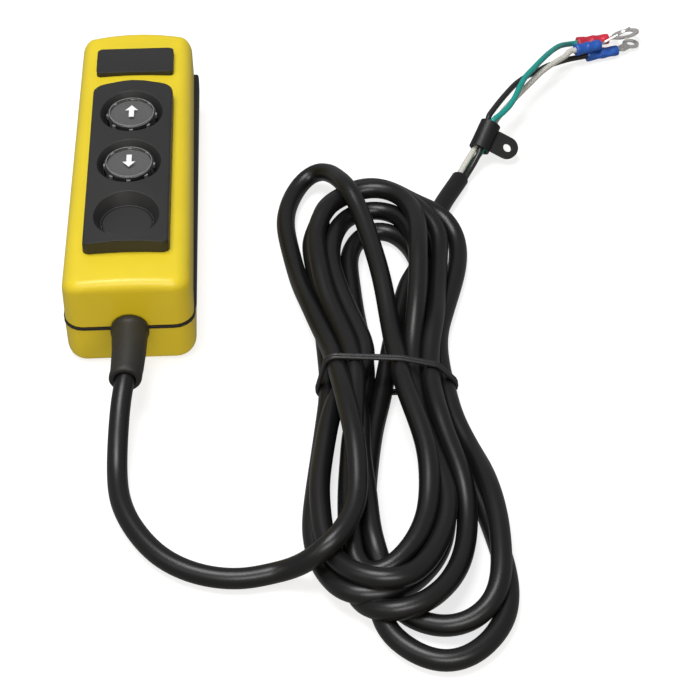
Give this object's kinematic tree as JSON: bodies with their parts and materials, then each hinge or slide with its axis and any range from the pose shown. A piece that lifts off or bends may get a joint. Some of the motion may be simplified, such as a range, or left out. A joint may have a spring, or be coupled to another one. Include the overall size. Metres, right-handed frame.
{
  "type": "pendant control station",
  "caption": "Hand-held pendant box with up and down push buttons, a blank spare position, a strain relief and a tied hank of cable ending in ring terminals.",
  "frame": {"origin": "middle of the flat rear face of the housing", "axes": "+Z out of the front face with the buttons, +Y along the housing away from the cable end, +X to the right"},
  "size_m": [0.2804, 0.3964, 0.0514],
  "materials": {
    "yellow_housing": "moulded, satin",
    "black_panel": "moulded, fine matt grain",
    "rubber_trim": "matt rubber",
    "rubber_seal": "soft rubber",
    "smoked_lens": "smoked clear plastic",
    "legend_disc": "printed disc",
    "black_inner_plastic": "moulded",
    "cream_insulator": "moulded",
    "brass": "bright",
    "steel": "zinc plated",
    "cable_jacket": "smooth, soft gloss",
    "tie": "ribbed tie",
    "white_insulation": "smooth",
    "green_insulation": "smooth",
    "black_insulation": "smooth",
    "nylon_clip": "nylon",
    "red_sleeve": "vinyl",
    "blue_sleeve": "vinyl",
    "tinned_copper": "tin plated"
  },
  "bodies": {
    "station": {"front_housing": "yellow_housing", "rear_housing": "yellow_housing", "control_panel": "black_panel", "name_plate": "black_panel", "blanking_plug": "black_panel", "housing_gasket": "rubber_trim", "side_grip_left": "rubber_trim", "side_grip_right": "rubber_trim", "strain_relief_boot": "rubber_trim", "contact_carrier": "cream_insulator", "cord_clamp": "black_inner_plastic", "clamp_screw_1": "steel", "clamp_screw_2": "steel", "housing_screw_1": "steel", "housing_screw_2": "steel", "housing_screw_3": "steel", "housing_screw_4": "steel", "lead_cord": "cable_jacket", "cord_hank": "cable_jacket", "cord_tail": "cable_jacket", "inlet_cable": "cable_jacket", "bundle_tie": "tie", "core_white": "white_insulation", "inner_wire_white": "white_insulation", "core_green": "green_insulation", "inner_wire_green": "green_insulation", "link_wire": "green_insulation", "core_black": "black_insulation", "inner_wire_black": "black_insulation", "p_clip": "nylon_clip", "terminal_sleeve_green": "red_sleeve", "terminal_sleeve_white": "blue_sleeve", "terminal_sleeve_black": "blue_sleeve", "ring_tongue_green": "tinned_copper", "ring_tongue_white": "tinned_copper", "ring_tongue_black": "tinned_copper", "up_guide_bush": "black_inner_plastic", "up_button_seal": "rubber_seal", "up_contact_block": "cream_insulator", "up_terminal_screw_1": "brass", "up_terminal_screw_2": "brass", "up_return_spring": "steel", "down_guide_bush": "black_inner_plastic", "down_button_seal": "rubber_seal", "down_contact_block": "cream_insulator", "down_terminal_screw_1": "brass", "down_terminal_screw_2": "brass", "down_return_spring": "steel"},
    "up_button": {"up_button_cap": "smoked_lens", "up_button_legend": "legend_disc", "up_plunger": "black_inner_plastic", "up_contact_bridge": "brass"},
    "down_button": {"down_button_cap": "smoked_lens", "down_button_legend": "legend_disc", "down_plunger": "black_inner_plastic", "down_contact_bridge": "brass"}
  },
  "joints": [
    {"name": "up_button_press", "type": "slide", "parent": "station", "child": "up_button", "axis": [0, 0, -1], "range_m": [0, 0.004], "stiffness_N_per_m": 600, "springref_m": -0.003, "deforming": ["up_return_spring"]},
    {"name": "down_button_press", "type": "slide", "parent": "station", "child": "down_button", "axis": [0, 0, -1], "range_m": [0, 0.004], "stiffness_N_per_m": 600, "springref_m": -0.003, "deforming": ["down_return_spring"]}
  ]
}
